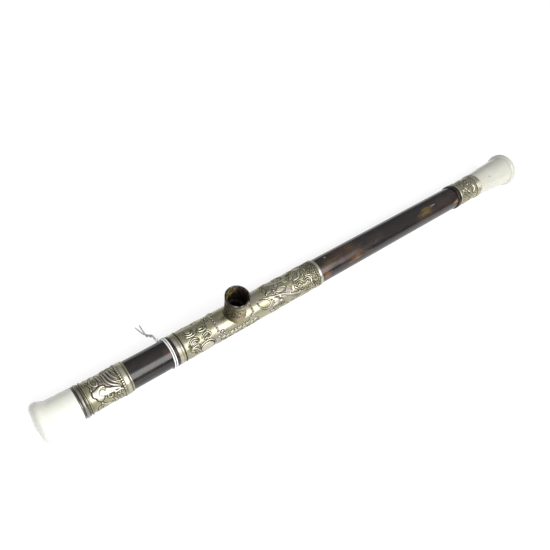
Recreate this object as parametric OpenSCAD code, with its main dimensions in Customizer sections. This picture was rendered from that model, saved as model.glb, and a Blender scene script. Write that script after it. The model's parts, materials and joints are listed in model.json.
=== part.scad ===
// Long smoking pipe with silver mounts, a shell-covered stem and no bowl.
// The stem lies along X with the mouthpiece at +X. The origin is the centre of the
// bowl seat's mouth, on the socket's axis, and +Z points out of the socket.

/* [Stem] */
// Radius of the shell sheath beside the near ferrule
near_stem_r = 12.6; // [12.5:0.05:12.8]
// Radius of the shell sheath at both ends of the saddle
mid_stem_r = 12.3; // [12.25:0.05:12.4]
// Radius of the shell sheath beside the far band
far_stem_r = 12.1; // [12.05:0.05:12.2]
// Radius of the bamboo core inside the sheaths
core_r = 11.2; // [10:0.1:11.4]
// Radius of the air bore along the core
air_r = 6; // [5:0.1:6.5]
// Visible length of the short stem section
short_len = 39.4; // [30:0.1:60]
// Visible length of the long stem section
long_len = 199.4; // [120:0.1:240]

/* [End cap] */
// Length of the white cap that closes the near end
cap_len = 33.5; // [28:0.5:44]
// Radius of the cap where it meets the collar
cap_neck_r = 13.8; // [13.4:0.1:14]
// Largest radius of the cap's rounded lip
cap_lip_r = 17; // [16:0.1:18]

/* [Near ferrule] */
// Length of the dark double-roll collar
collar_len = 5.4; // [4:0.1:8]
// Outer radius of the dark double-roll collar
collar_r = 14; // [13.8:0.1:14.4]
// Length of the chased sleeve at the near end
near_ferrule_len = 30.4; // [24:0.1:40]
// Length of the smooth roll at the inner end of the sleeve
near_roll_len = 6.7; // [4:0.1:9]
// Outer radius of the smooth roll
near_roll_r = 13.6; // [13.4:0.1:14]

/* [Saddle] */
// Length of the long chased saddle that carries the socket
saddle_len = 156.4; // [130:0.1:180]
// Distance from the saddle's near end to the socket's axis
socket_offset = 61; // [50:0.1:75]
// Outer radius of the saddle sleeve
saddle_r = 12.95; // [12.9:0.05:13.1]
// Length of the smooth roll at the saddle's near end
saddle_roll_len = 5.4; // [4:0.1:9]
// Length of the plain rim at the saddle's far end
saddle_rim_len = 3.2; // [2:0.1:5]

/* [Socket] */
// Height of the socket's rim above the stem's axis
socket_height = 36.2; // [34:0.1:40]
// Outer radius of the socket at its rim
socket_rim_r = 10.95; // [10.8:0.05:11.2]
// Outer radius of the socket just above its foot
socket_neck_r = 9.2; // [9.1:0.05:9.6]
// Outer radius of the foot that is soldered to the saddle
socket_foot_r = 10.8; // [10.4:0.1:11.2]
// Radius of the straight seat that takes the bowl's shank
seat_r = 8.2; // [8:0.1:8.4]
// Length of the straight seat
seat_len = 14; // [12:0.5:14]
// Depth of the flared entry above the seat
entry_depth = 4; // [3:0.5:5]

/* [Far ferrule] */
// Length of the dark raised band beside the far ferrule
band_len = 5.4; // [4:0.1:12]
// Outer radius of the dark raised band
band_r = 13.3; // [13:0.1:13.6]
// Length of the chased sleeve at the mouthpiece end
far_ferrule_len = 28; // [20:0.1:36]
// Outer radius of the chased sleeve at the mouthpiece end
far_ferrule_r = 12.6; // [12.55:0.05:12.8]
// Length of each of the three end rings
end_ring_len = 2.1; // [1.5:0.1:3]
// Outer radius of the end rings
end_ring_r = 13.4; // [13.2:0.1:13.6]

/* [Mouthpiece] */
// Length of the white mouthpiece
mouth_len = 58.5; // [50:0.5:70]
// Radius of the mouthpiece where it meets the end rings
mouth_neck_r = 13; // [12.8:0.1:13.2]
// Radius of the mouthpiece just before its lip
mouth_cone_r = 16.3; // [15:0.1:16.5]
// Largest radius of the mouthpiece's rounded lip
mouth_lip_r = 18.7; // [18:0.1:19]
// Radius of the air hole through the mouthpiece
mouth_hole_r = 2.5; // [2:0.1:3]

/* [String] */
// Radius of one strand of the string
string_r = 0.62; // [0.4:0.01:0.65]

/* [Hidden] */
$fn = 96;

white = "#f1f0e2";
silver = "#a9a182";
dark_metal = "#4a4a46";
dark_horn = "#1b1816";
shell = "#3a2219";
bamboo = "#b79a62";
brass = "#a98745";
cotton = "#e9e7e4";

// Height of the stem's axis in this frame: the rim stands entry_depth above the origin.
rim_z = entry_depth;
axis_z = rim_z - socket_height;

// Places along X, counted outwards from the socket's axis at x = 0.
saddle_x0 = -socket_offset;
saddle_x1 = saddle_x0 + saddle_len;
saddle_ring_len = 2.4;
short_x1 = saddle_x0 - saddle_ring_len;
short_x0 = short_x1 - short_len;
near_roll_x0 = short_x0 - near_roll_len;
near_ferrule_x0 = near_roll_x0 - near_ferrule_len;
near_collar_x0 = near_ferrule_x0 - collar_len;
band_x0 = saddle_x1 + long_len;
band_x1 = band_x0 + band_len;
far_ferrule_x1 = band_x1 + far_ferrule_len;
end_ring_gap = 0.1;
end_rings_x1 = far_ferrule_x1 + 3 * end_ring_len + 2 * end_ring_gap;
mouth_gap = 0.15;
mouth_x0 = end_rings_x1 + mouth_gap;
mouth_x1 = mouth_x0 + mouth_len;

// Parts hidden inside the stem.
sheath_joint_x = 20;
dowel_depth = 16;
plug_x0 = -30;
plug_len = 8;
bush_len = 26;
bush_r = 5;
tenon_clearance = 0.05;
tenon_r = bush_r - tenon_clearance;
tenon_wall = 0.9;
tenon_in_stem = 24;
tenon_in_mouth = 14;
far_sleeve_bore_r = 12;
throat_r = 6;
throat_wall = 1;

// Fine wires and beads.
wire_r = 0.5;
bead_r = 0.72;
bead_rise = 0.08;
bead_pitch = 2.8;
// Plain panel round the socket: its ends along X, its edge's angle from the top, and
// the cut corners.
panel_x0 = -21.8;
panel_x1 = 14.8;
panel_angle = 66;
panel_back_angle = 80;
corner_x = 6.5;
corner_angle = 26;

// String: two turns beside the saddle ring, a knot behind and above, and two loose ends.
loop_b_x = short_x1 - 0.9;
loop_a_x = loop_b_x - 2;
loop_r = near_stem_r + string_r;
knot_x = loop_a_x - 2.2;
knot_r = 1.75;
knot_angle = 70;
knot_radius = 14.4;
// Centre line of the two loose ends, from the knot down to the table: x, y and the
// height above the stem's axis.
tail_route = [
  [-69.0, 14.2, 5.0], [-69.1, 16.4, 4.6], [-69.2, 18.6, 3.2], [-69.3, 20.6, 1.2],
  [-69.3, 22.3, -1.2], [-69.4, 23.9, -3.8], [-69.4, 25.5, -6.4], [-69.4, 27.2, -8.9],
  [-69.5, 29.2, -11.2], [-69.6, 31.5, -13.2], [-69.7, 34.0, -14.7], [-69.8, 36.6, -15.6],
  [-70.0, 39.0, -16.1], [-70.2, 41.2, -16.4], [-70.4, 43.2, -16.5]
];
tail_sides = 8;
// The strands turn round each other as far as this point, then part on the table.
tail_fork = 10;
tail_twist = 50;
tail_offset = 0.72;
tail_spread = 0.35;

// ---- helpers ----

// Points of an arc in a profile, as [radius, x], from angle a0 to a1.
function arc(cr, cx, rr, rx, a0, a1, n = 16) =
  [for (i = [0:n]) let (a = a0 + (a1 - a0) * i / n) [cr + rr * cos(a), cx + rx * sin(a)]];

// A solid of revolution about the stem's axis from a profile of [radius, x] points.
module turned(profile) {
  translate([0, 0, axis_z])
    rotate([0, 90, 0])
      rotate_extrude()
        polygon(profile);
}

// A plain tube about the stem's axis.
module sleeve(x0, x1, inner, outer) {
  turned([[inner, x0], [outer, x0], [outer, x1], [inner, x1]]);
}

// A half-round band about the stem's axis, standing from inner to outer.
module half_round(x0, x1, inner, base, outer) {
  mid = (x0 + x1) / 2;
  half = (x1 - x0) / 2;
  turned(concat([[inner, x0]], arc(base, mid, outer - base, half, -90, 90), [[inner, x1]]));
}

// A round wire ring about the stem's axis: a true torus.
module wire_ring(x, ring_r, r) {
  translate([x, 0, axis_z])
    rotate([0, 90, 0])
      rotate_extrude()
        translate([ring_r, 0])
          circle(r = r, $fn = 32);
}

// A cylinder along the socket's axis from z0 up to z1.
module socket_drill(z0, z1, r) {
  translate([0, 0, z0])
    cylinder(r = r, h = z1 - z0);
}

// ---- near end ----

module end_cap() {
  tip = near_collar_x0 - cap_len;
  lip_x = tip + 6.1;
  neck_x = lip_x + 8.6;
  bowed = [for (i = [1:10]) let (k = i / 10)
    [14.2 + (cap_lip_r - 14.2) * (0.5 + 0.5 * cos(180 * k)), lip_x + (neck_x - lip_x) * k]];
  color(white)
    difference() {
      turned(concat(
        [[0, tip]],
        arc(cap_lip_r - 6, lip_x, 6, 5, -90, 0),
        bowed,
        [[cap_neck_r, near_collar_x0], [0, near_collar_x0]]
      ));
      sleeve(near_collar_x0 - dowel_depth, near_collar_x0 + 1, 0, air_r);
    }
}

module cap_dowel() {
  color(bamboo)
    sleeve(near_collar_x0 - dowel_depth, near_collar_x0 + dowel_depth, 0, air_r);
}

module near_collar() {
  half = collar_len / 2;
  mid = near_collar_x0 + half;
  color(dark_metal) {
    half_round(near_collar_x0, mid, mid_stem_r, collar_r - 1, collar_r);
    half_round(mid, near_collar_x0 + collar_len, mid_stem_r, collar_r - 1, collar_r - 0.3);
  }
}

module near_bead_wire() {
  color(silver)
    wire_ring(near_ferrule_x0 + 1.6, saddle_r + wire_r, wire_r);
}

module near_ferrule() {
  color(silver)
    sleeve(near_ferrule_x0, near_roll_x0, mid_stem_r, saddle_r);
}

module near_inner_bead_wire() {
  color(silver)
    wire_ring(near_roll_x0 - 0.6, saddle_r + wire_r, wire_r);
}

module near_roll() {
  color(silver)
    half_round(near_roll_x0, short_x0, mid_stem_r, near_stem_r, near_roll_r);
}

// ---- stem ----

module stem_core() {
  color(bamboo)
    difference() {
      sleeve(near_collar_x0, far_ferrule_x1, air_r, core_r);
      socket_drill(axis_z, axis_z + core_r + 1, throat_r + throat_wall);
    }
}

module bore_plug() {
  color(bamboo)
    sleeve(plug_x0, plug_x0 + plug_len, 0, air_r);
}

module near_sheath() {
  color(shell)
    difference() {
      turned([
        [core_r, near_collar_x0], [mid_stem_r, near_collar_x0], [mid_stem_r, short_x0],
        [near_stem_r, short_x0], [near_stem_r, short_x1], [mid_stem_r, short_x1],
        [mid_stem_r, sheath_joint_x], [core_r, sheath_joint_x]
      ]);
      socket_drill(axis_z, axis_z + mid_stem_r + 1, throat_r + throat_wall);
    }
}

module far_sheath() {
  color(shell)
    turned([
      [core_r, sheath_joint_x], [mid_stem_r, sheath_joint_x], [mid_stem_r, saddle_x1],
      [far_stem_r, band_x0], [far_sleeve_bore_r, band_x0],
      [far_sleeve_bore_r, far_ferrule_x1], [core_r, far_ferrule_x1]
    ]);
}

module saddle_ring() {
  color(dark_horn)
    half_round(short_x1, saddle_x0, mid_stem_r, near_stem_r, near_stem_r + 0.8);
}

// ---- saddle ----

module saddle_sleeve() {
  color(silver)
    difference() {
      sleeve(saddle_x0, saddle_x1, mid_stem_r, saddle_r);
      socket_drill(axis_z, axis_z + saddle_r + 1, throat_r + throat_wall);
    }
}

module saddle_roll() {
  color(silver)
    half_round(saddle_x0, saddle_x0 + saddle_roll_len, saddle_r, saddle_r, saddle_r + 0.5);
}

module saddle_bead_wire() {
  color(silver)
    wire_ring(saddle_x0 + saddle_roll_len + 1.3, saddle_r + 0.3, 0.3);
}

module saddle_rim() {
  color(silver)
    half_round(saddle_x1 - saddle_rim_len, saddle_x1, saddle_r, saddle_r, saddle_r + 0.35);
}

// Corners of the panel's outline, as [x, angle from the top].
panel_low = panel_angle - corner_angle;
panel_high = panel_back_angle - corner_angle;
panel = [
  [panel_x0 + corner_x, -panel_angle], [panel_x1 - corner_x, -panel_angle],
  [panel_x1, -panel_low], [panel_x1, panel_high],
  [panel_x1 - corner_x, panel_back_angle], [panel_x0 + corner_x, panel_back_angle],
  [panel_x0, panel_high], [panel_x0, -panel_low]
];

// Number of beads along one side of the outline.
function bead_count(a, b) =
  round(norm([b.x - a.x, (b.y - a.y) * PI / 180 * saddle_r]) / bead_pitch);

// Centre of a bead on the saddle's surface, at [x, angle from the top].
module bead(place) {
  translate([place.x, 0, axis_z])
    rotate([place.y, 0, 0])
      translate([0, 0, saddle_r + bead_rise])
        sphere(r = bead_r, $fn = 16);
}

// The row of raised beads that frames the plain panel round the socket.
module cartouche_beads() {
  color(silver)
    difference() {
      for (i = [0:len(panel) - 1])
        let (a = panel[i], b = panel[(i + 1) % len(panel)], n = bead_count(a, b))
          for (k = [0:n - 1])
            bead(a + (b - a) * k / n);
      sleeve(panel_x0 - 2, panel_x1 + 2, 0, saddle_r);
    }
}

// ---- socket ----

module socket_foot() {
  color(silver)
    difference() {
      intersection() {
        socket_drill(axis_z + 4, axis_z + 16, socket_foot_r);
        sleeve(-socket_foot_r - 1, socket_foot_r + 1, saddle_r, saddle_r + 0.9);
      }
      socket_drill(axis_z, axis_z + 20, socket_neck_r);
    }
}

module socket_body() {
  low = axis_z + 4;
  neck_z = axis_z + saddle_r + 3;
  top = rim_z - 1.6;
  shoulder = -seat_len;
  color(silver)
    difference() {
      rotate_extrude()
        polygon([
          [throat_r + throat_wall, low], [socket_neck_r, low], [socket_neck_r, neck_z],
          [socket_rim_r - 0.5, top], [seat_r + 1.1, top], [seat_r, 0],
          [seat_r, shoulder], [throat_r + throat_wall, shoulder]
        ]);
      sleeve(-socket_foot_r - 1, socket_foot_r + 1, 0, saddle_r);
    }
}

module socket_rim() {
  low = rim_z - 1.6;
  inner = seat_r + 1.1;
  color(dark_metal)
    rotate_extrude()
      polygon(concat(
        [[inner, low]],
        [for (i = [0:12]) let (a = -90 + 180 * i / 12)
          [socket_rim_r - 0.8 + 0.8 * cos(a), low + 0.8 + 0.8 * sin(a)]],
        [[inner + 0.7, rim_z]]
      ));
}

module throat_tube() {
  color(brass)
    difference() {
      socket_drill(axis_z, -seat_len, throat_r + throat_wall);
      socket_drill(axis_z - 1, -seat_len + 1, throat_r);
      sleeve(-throat_r - 2, throat_r + 2, 0, air_r + 1);
    }
}

// ---- far end ----

module far_band() {
  edge = 0.6;
  color(dark_horn)
    turned([
      [far_sleeve_bore_r, band_x0], [band_r - edge, band_x0], [band_r, band_x0 + edge],
      [band_r, band_x1 - edge], [band_r - edge, band_x1], [far_sleeve_bore_r, band_x1]
    ]);
}

module far_ferrule_edge() {
  color(silver)
    half_round(band_x1, band_x1 + 1.8, far_ferrule_r, far_ferrule_r, far_ferrule_r + 0.4);
}

module far_ferrule() {
  color(silver)
    sleeve(band_x1, far_ferrule_x1, far_sleeve_bore_r, far_ferrule_r);
}

// One of the three half-round end rings, counted from the ferrule outwards.
module far_ring(i) {
  x0 = far_ferrule_x1 + (i - 1) * (end_ring_len + end_ring_gap);
  color(silver)
    half_round(x0, x0 + end_ring_len, bush_r + 1, end_ring_r - 0.7, end_ring_r);
}

module mouth_bush() {
  color(bamboo)
    sleeve(far_ferrule_x1 - bush_len, far_ferrule_x1, bush_r, air_r);
}

module mouth_tenon() {
  color(brass)
    sleeve(mouth_x0 - tenon_in_stem, mouth_x0 + tenon_in_mouth, tenon_r - tenon_wall, tenon_r);
}

module mouthpiece() {
  lip_x = mouth_x1 - 4.8;
  lip_start = lip_x - 4.2;
  color(white)
    turned(concat(
      [[tenon_r, mouth_x0], [mouth_neck_r, mouth_x0], [mouth_cone_r, lip_start]],
      [for (i = [1:8]) let (a = 90 * i / 8)
        [mouth_cone_r + (mouth_lip_r - mouth_cone_r) * sin(a), lip_x - 4.2 * cos(a)]],
      arc(mouth_lip_r - 5, lip_x, 5, 4.2, 8, 90),
      [[mouth_hole_r + 1.6, mouth_x1], [mouth_hole_r, mouth_x1 - 1.6],
       [mouth_hole_r, mouth_x0 + tenon_in_mouth], [tenon_r, mouth_x0 + tenon_in_mouth]]
    ));
}

// ---- string ----

module string_loop_a() {
  color(cotton)
    wire_ring(loop_a_x, loop_r, string_r);
}

module string_loop_b() {
  color(cotton)
    wire_ring(loop_b_x, loop_r, string_r);
}

module string_knot() {
  color(cotton)
    translate([knot_x, knot_radius * sin(knot_angle), axis_z + knot_radius * cos(knot_angle)])
      sphere(r = knot_r, $fn = 32);
}

// Direction of the tail at point i, and the direction across it in its own plane.
function tail_dir(i) =
  let (a = tail_route[max(i - 1, 0)], b = tail_route[min(i + 1, len(tail_route) - 1)])
  (b - a) / norm(b - a);
function tail_side(i) =
  let (c = cross(tail_dir(i), [1, 0, 0]))
  c / norm(c);

// Point i of one strand, which turns round the centre line and then lies beside it.
function strand_point(i, side) =
  let (
    phase = i < tail_fork ? tail_twist * (tail_fork - i) : 0,
    reach = side * (tail_offset + tail_spread * max(0, i - tail_fork))
  )
  tail_route[i] + [0, 0, axis_z]
  + reach * (cos(phase) * [1, 0, 0] + sin(phase) * tail_side(i));

// A round tube swept along one strand.
module strand(side) {
  n = len(tail_route);
  points = [for (i = [0:n - 1]) for (k = [0:tail_sides - 1])
    let (a = 360 * k / tail_sides)
    strand_point(i, side) + string_r * (cos(a) * [1, 0, 0] + sin(a) * tail_side(i))];
  walls = [for (i = [0:n - 2]) for (k = [0:tail_sides - 1])
    let (next = (k + 1) % tail_sides)
    [i * tail_sides + k, (i + 1) * tail_sides + k,
     (i + 1) * tail_sides + next, i * tail_sides + next]];
  start = [for (k = [0:tail_sides - 1]) k];
  end = [for (k = [0:tail_sides - 1]) n * tail_sides - 1 - k];
  polyhedron(points = points, faces = concat([start], walls, [end]));
}

module string_tail_a() {
  color(cotton)
    strand(1);
}

module string_tail_b() {
  color(cotton)
    strand(-1);
}

end_cap();
cap_dowel();
near_collar();
near_bead_wire();
near_ferrule();
near_inner_bead_wire();
near_roll();
stem_core();
bore_plug();
near_sheath();
far_sheath();
saddle_ring();
saddle_sleeve();
saddle_roll();
saddle_bead_wire();
saddle_rim();
cartouche_beads();
socket_foot();
socket_body();
socket_rim();
throat_tube();
far_band();
far_ferrule_edge();
far_ferrule();
far_ring(1);  // far_ring_1
far_ring(2);  // far_ring_2
far_ring(3);  // far_ring_3
mouth_bush();
mouth_tenon();
mouthpiece();
string_loop_a();
string_loop_b();
string_knot();
string_tail_a();
string_tail_b();
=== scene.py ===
import json
import math

import bmesh
import bpy
import numpy as np
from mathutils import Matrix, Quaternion, Vector


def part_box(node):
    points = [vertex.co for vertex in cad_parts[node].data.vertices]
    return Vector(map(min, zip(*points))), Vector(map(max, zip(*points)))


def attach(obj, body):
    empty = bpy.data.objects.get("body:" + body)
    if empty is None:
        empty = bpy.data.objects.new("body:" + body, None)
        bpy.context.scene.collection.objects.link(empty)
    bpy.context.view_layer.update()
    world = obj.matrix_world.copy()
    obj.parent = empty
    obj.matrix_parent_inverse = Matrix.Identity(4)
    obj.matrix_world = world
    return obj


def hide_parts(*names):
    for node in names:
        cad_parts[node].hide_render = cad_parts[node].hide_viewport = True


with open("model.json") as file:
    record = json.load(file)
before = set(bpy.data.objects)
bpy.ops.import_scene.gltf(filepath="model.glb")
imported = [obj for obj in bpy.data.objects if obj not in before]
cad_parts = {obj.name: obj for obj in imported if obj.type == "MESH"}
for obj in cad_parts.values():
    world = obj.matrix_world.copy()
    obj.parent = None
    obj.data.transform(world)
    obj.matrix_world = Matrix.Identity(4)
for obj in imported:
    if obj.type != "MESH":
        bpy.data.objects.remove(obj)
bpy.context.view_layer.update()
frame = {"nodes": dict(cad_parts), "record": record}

# Looks of a long smoking pipe that has lost its bowl: white ends, chased silver mounts, a
# tortoiseshell stem and a tied string. Everything is in metres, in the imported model's frame.
# The stem runs along X, and angles round it are counted from the top (+Z) towards +Y.

MM = 0.001
# From each white end's tip to the middle of its lip
CAP_LIP = 6.1 * MM
MOUTH_LIP = 4.8 * MM
# Radius of the shell under the far mount
FAR_R = 12.0 * MM
PIPE, MOUTH, STRING = "pipe", "mouthpiece", "tag_string"


def extent(node):
    """Where a node of the stem starts and ends along X, and its outer radius."""
    low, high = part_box(node)
    return low.x, high.x, (high.y - low.y) / 2


core_low, core_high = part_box("stem_core")
AXIS_Z = (core_low.z + core_high.z) / 2
CORE_R = (core_high.y - core_low.y) / 2
SHELL_R = extent("far_sheath")[2]
SADDLE_R = extent("saddle_sleeve")[2]


# ---- camera ----

CAMERA_TARGET = Vector((0.0602, 0.0174, AXIS_Z))
CAMERA_DISTANCE = 0.5324
CAMERA_AZIMUTH = math.radians(-50.60)
CAMERA_ELEVATION = math.radians(54.34)
CAMERA_ROLL = math.radians(16.66)
CAMERA_LENS = 36.97


def make_camera():
    """The photograph's camera: the stem runs up to the right and the socket faces the lens."""
    level = math.cos(CAMERA_ELEVATION)
    back = Vector((math.sin(CAMERA_AZIMUTH) * level, -math.cos(CAMERA_AZIMUTH) * level,
                   math.sin(CAMERA_ELEVATION)))
    data = bpy.data.cameras.new("camera")
    data.lens = CAMERA_LENS
    camera = bpy.data.objects.new("camera", data)
    bpy.context.scene.collection.objects.link(camera)
    upright = (-back).to_track_quat("-Z", "Y")
    roll = Quaternion((0, 0, 1), CAMERA_ROLL)
    camera.rotation_euler = (upright @ roll).to_euler()
    camera.location = CAMERA_TARGET + back * CAMERA_DISTANCE
    bpy.context.scene.camera = camera


make_camera()


# ---- meshes ----

def mark_relief(mesh, values):
    """Stores how far each point stands above or below the plain metal, for silver_look."""
    mark = mesh.attributes.new("relief", "FLOAT", "POINT")
    mark.data.foreach_set("value", np.ravel(values).astype(np.float32))


def build(name, points, faces, material, body, nodes, sharp=35, relief=None):
    """Makes a smooth-shaded piece that rides on a body and stands for CAD nodes."""
    mesh = bpy.data.meshes.new(name)
    mesh.from_pydata([tuple(p) for p in points], [], [tuple(f) for f in faces])
    if relief is not None:
        mark_relief(mesh, relief)
    work = bmesh.new()
    work.from_mesh(mesh)
    bmesh.ops.remove_doubles(work, verts=work.verts, dist=1e-7)
    bmesh.ops.recalc_face_normals(work, faces=work.faces)
    work.to_mesh(mesh)
    work.free()
    mesh.shade_smooth()
    if sharp:
        mesh.set_sharp_from_angle(angle=math.radians(sharp))
    return place_piece(name, mesh, [material], body, nodes)


def place_piece(name, mesh, materials, body, nodes):
    """Puts a mesh in the scene as a piece that rides on a body and stands for CAD nodes."""
    for material in materials:
        mesh.materials.append(material)
    piece = bpy.data.objects.new(name, mesh)
    bpy.context.scene.collection.objects.link(piece)
    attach(piece, body)
    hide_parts(*nodes)
    return piece


def grid_faces(rows, columns, wrap_rows=False):
    """Quads of a grid of points numbered row by row, whose columns close on themselves."""
    r = np.arange(rows if wrap_rows else rows - 1)
    r, c = np.meshgrid(r, np.arange(columns), indexing="ij")
    up, right = (r + 1) % rows, (c + 1) % columns
    quads = np.stack([r * columns + c, up * columns + c, up * columns + right,
                      r * columns + right], axis=-1)
    return quads.reshape(-1, 4)


def around(x, radius, angle):
    """Points at x, radius and angle round the stem's axis."""
    return np.stack([x, radius * np.sin(angle), AXIS_Z + radius * np.cos(angle)], axis=-1)


def turned(name, outline, material, body, nodes, wobble=0.02 * MM):
    """A solid turned about the stem's axis from a closed outline of (x, radius) points.
    The hand-made surface wanders by about wobble, and its grooves count as hollows."""
    segments = 160
    outline = np.array(outline, float)
    angle = np.arange(segments) * 2 * math.pi / segments
    x = np.repeat(outline[:, :1], segments, axis=1)
    radius = np.repeat(outline[:, 1:], segments, axis=1)
    wander = (np.sin(2 * angle + 41 * x) + 0.7 * np.sin(3 * angle - 97 * x + 1)
              + 0.4 * np.sin(5 * angle + 190 * x + 2))
    radius = np.where(radius > MM, radius + wobble * wander / 2.1, radius)
    points = around(x, radius, angle[None, :]).reshape(-1, 3)
    faces = grid_faces(len(outline), segments, wrap_rows=True)
    crest = radius.max()
    relief = 0.3 - 0.55 * np.clip((crest - radius) / (0.9 * MM), 0, 1)
    return build(name, points, faces, material, body, nodes, relief=relief)


def arc(x, radius, across, out, start, end, count=12):
    """Points of an elliptical arc in an outline: start and end in degrees, 0 is outwards."""
    a = np.radians(np.linspace(start, end, count + 1))
    return [(x + across * math.sin(t), radius + out * math.cos(t)) for t in a]


def fine_line(a, b, step=1.5 * MM):
    """Points of an outline from a towards b, a step apart, without b."""
    count = max(1, round(math.dist(a, b) / step))
    a, b = np.array(a, float), np.array(b, float)
    return [tuple(a + (b - a) * i / count) for i in range(count)]


def roll_outline(x0, x1, inner, foot, crest):
    """A half-round band: a flat inner face and a bulge from foot to crest."""
    middle, half = (x0 + x1) / 2, (x1 - x0) / 2
    return [(x0, inner), *arc(middle, foot, half, crest - foot, -90, 90, 20), (x1, inner)]


# ---- materials ----

class Look:
    """A Principled material and short ways to feed it from procedural nodes."""

    def __init__(self, name, **fixed):
        self.material = bpy.data.materials.new(name)
        self.material.use_nodes = True
        self.tree = self.material.node_tree
        self.shader = self.tree.nodes["Principled BSDF"]
        for socket, value in fixed.items():
            self.shader.inputs[socket.replace("_", " ")].default_value = value
        self.place = self.node("ShaderNodeTexCoord").outputs["Object"]

    def node(self, kind, settings=None, **inputs):
        """A node with its settings, and inputs that are values or other nodes' outputs."""
        made = self.tree.nodes.new(kind)
        for key, value in (settings or {}).items():
            setattr(made, key, value)
        for key, value in inputs.items():
            socket = made.inputs[int(key[1:]) if key[0] == "_" else key.replace("_", " ")]
            if isinstance(value, bpy.types.NodeSocket):
                self.tree.links.new(value, socket)
            else:
                socket.default_value = value
        return made

    def feed(self, socket, value):
        """Sets one of the shader's inputs to a value or another node's output."""
        if isinstance(value, bpy.types.NodeSocket):
            self.tree.links.new(value, self.shader.inputs[socket])
        else:
            self.shader.inputs[socket].default_value = value

    def scaled(self, x, y, z, vector=None):
        """The place on the object, stretched along each axis."""
        return self.node("ShaderNodeVectorMath", {"operation": "MULTIPLY"},
                         _0=vector or self.place, _1=(x, y, z)).outputs[0]

    def noise(self, scale, detail=4.0, rough=0.55, vector=None, distortion=0.0):
        return self.node("ShaderNodeTexNoise", Scale=scale, Detail=detail, Roughness=rough,
                         Distortion=distortion, Vector=vector or self.place).outputs["Fac"]

    def spread(self, value, low, high, to_low=0.0, to_high=1.0):
        """value from low to high becomes to_low to to_high, and is held outside."""
        return self.node("ShaderNodeMapRange", {"interpolation_type": "SMOOTHSTEP"}, Value=value,
                         From_Min=low, From_Max=high, To_Min=to_low, To_Max=to_high).outputs[0]

    def math(self, operation, a, b=0.0):
        return self.node("ShaderNodeMath", {"operation": operation}, _0=a, _1=b).outputs[0]

    def mix(self, factor, a, b):
        """Colour a where factor is 0, and b where it is 1."""
        made = self.tree.nodes.new("ShaderNodeMix")
        made.data_type = "RGBA"
        for socket, value in ((made.inputs[0], factor), (made.inputs[6], a), (made.inputs[7], b)):
            if isinstance(value, bpy.types.NodeSocket):
                self.tree.links.new(value, socket)
            elif isinstance(value, tuple):
                socket.default_value = (*value, 1.0)
            else:
                socket.default_value = value
        return made.outputs[2]

    def radius(self):
        """Distance from the stem's axis."""
        flat = self.node("ShaderNodeVectorMath", {"operation": "MULTIPLY_ADD"}, _0=self.place,
                         _1=(0, 1, 1), _2=(0, 0, -AXIS_Z)).outputs[0]
        return self.node("ShaderNodeVectorMath", {"operation": "LENGTH"}, _0=flat).outputs["Value"]

    def along(self):
        """Place along the stem."""
        return self.node("ShaderNodeSeparateXYZ", Vector=self.place).outputs["X"]

    def finish(self, colour, rough, height, distance, strength):
        """Feeds colour, roughness and a bump of height into the shader."""
        self.feed("Base Color", colour)
        self.feed("Roughness", rough)
        self.feed("Normal", self.node("ShaderNodeBump", Height=height, Distance=distance,
                                      Strength=strength).outputs["Normal"])
        return self.material


def silver_look(name, tint=(1.0, 1.0, 1.0), side_shade=0.0):
    """Old white metal: pale crests, olive and warm grey flats, dark tarnish in the chased
    lines. The last argument is how dark the side away from the long stem is made, as painted shade."""
    def tinted(*colour):
        return tuple(a * b for a, b in zip(colour, tint))

    look = Look(name, Metallic=0.96)
    relief = look.node("ShaderNodeAttribute", {"attribute_name": "relief"}).outputs["Fac"]
    cloud = look.noise(95, 5, 0.6)
    hue = look.noise(55, 3, 0.6, look.scaled(1, 1, 1.3))
    flat = look.mix(look.spread(hue, 0.40, 0.58), tinted(0.42, 0.385, 0.315),
                    tinted(0.39, 0.38, 0.25))
    colour = look.mix(look.spread(relief, 0.10, 0.42), flat, tinted(0.60, 0.58, 0.50))
    tarnish = look.spread(cloud, 0.46, 0.72, 0.0, 0.65)
    colour = look.mix(tarnish, colour, tinted(0.21, 0.19, 0.115))
    hollow = look.spread(relief, -0.02, -0.16)
    colour = look.mix(look.math("MULTIPLY", hollow, 0.93), colour, (0.040, 0.034, 0.020))
    # Painted shade: the side away from the long stem is darkened.
    if side_shade:
        side = look.spread(look.along(), -0.0005, -0.0085, 0.0, side_shade)
        colour = look.mix(side, colour, (0.045, 0.034, 0.024))
    scratches = look.noise(900, 3, 0.7, look.scaled(0.25, 1, 1))
    rough = look.math("ADD", look.spread(cloud, 0.3, 0.75, 0.27, 0.45),
                      look.math("MULTIPLY", hollow, 0.35))
    rough = look.math("ADD", rough, look.math("MULTIPLY", scratches, 0.08))
    grain = look.math("ADD", look.noise(1500, 3), look.math("MULTIPLY", scratches, 0.6))
    return look.finish(colour, rough, grain, 0.03 * MM, 0.5)


def dark_metal_look(name, low, high):
    """Blackened metal: streaked round the stem, and worn pale on the crests."""
    look = Look(name, Metallic=0.9)
    streak = look.noise(420, 5, 0.65, look.scaled(1.0, 0.22, 0.22))
    patch = look.noise(130, 4)
    worn = look.math("MULTIPLY", look.spread(look.radius(), low, high),
                     look.spread(streak, 0.35, 0.65))
    colour = look.mix(look.spread(patch, 0.35, 0.7), (0.13, 0.12, 0.10), (0.28, 0.27, 0.23))
    colour = look.mix(look.math("MULTIPLY", worn, 0.7), colour, (0.46, 0.44, 0.39))
    return look.finish(colour, look.spread(streak, 0.3, 0.7, 0.28, 0.52),
                       look.math("ADD", streak, look.noise(1400, 2)), 0.05 * MM, 0.5)


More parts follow.
